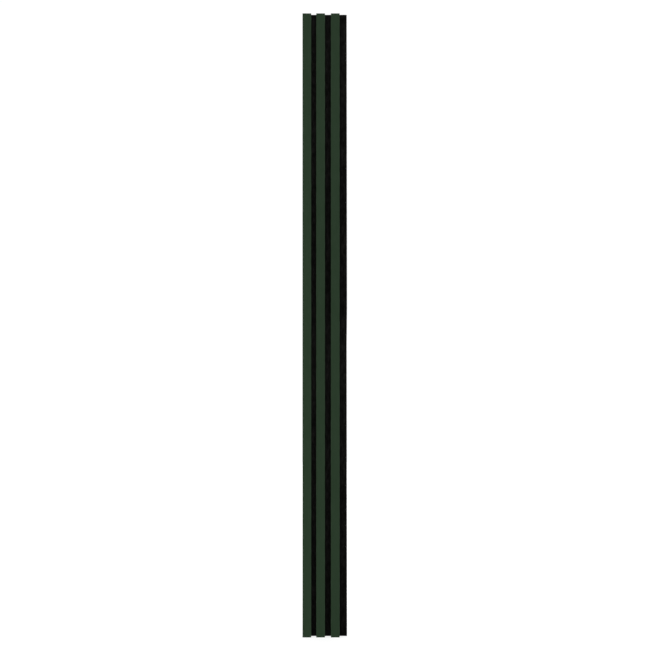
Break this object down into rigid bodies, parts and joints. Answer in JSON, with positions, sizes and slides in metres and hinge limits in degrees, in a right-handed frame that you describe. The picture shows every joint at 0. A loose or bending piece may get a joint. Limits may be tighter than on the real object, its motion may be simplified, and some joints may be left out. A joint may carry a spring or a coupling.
{
  "type": "slat wall panel",
  "caption": "Narrow full-height wall panel: dark green wrapped wooden slats side by side on a black felt backing, with a felt lap flange along one long edge.",
  "frame": {"origin": "on the wall plane, at the panel's low end, midway between its outermost long edges", "axes": "+Z runs along the panel from its low end to its high end, +Y points into the wall and +X points from the overhanging slat towards the felt flange; the slats face -Y"},
  "size_m": [0.1968, 0.0255, 2.75],
  "materials": {
    "black_felt": "dense pressed polyester felt, black, dull",
    "fibreboard": "raw medium-density fibreboard, sawn ends",
    "green_foil": "dark green wrapping foil, matt with a faint grain",
    "set_glue": "set hot-melt glue, amber, cloudy",
    "staple_wire": "zinc-coated flat steel wire"
  },
  "bodies": {
    "root": {"felt_backing": "black_felt", "slat_core_left": "fibreboard", "slat_core_middle": "fibreboard", "slat_core_right": "fibreboard", "green_wrap_left": "green_foil", "green_wrap_middle": "green_foil", "green_wrap_right": "green_foil", "glue_bead_left_1": "set_glue", "glue_bead_left_2": "set_glue", "glue_bead_middle_1": "set_glue", "glue_bead_middle_2": "set_glue", "glue_bead_right_1": "set_glue", "glue_bead_right_2": "set_glue", "staples_left": "staple_wire", "staples_middle": "staple_wire", "staples_right": "staple_wire"}
  },
  "joints": []
}
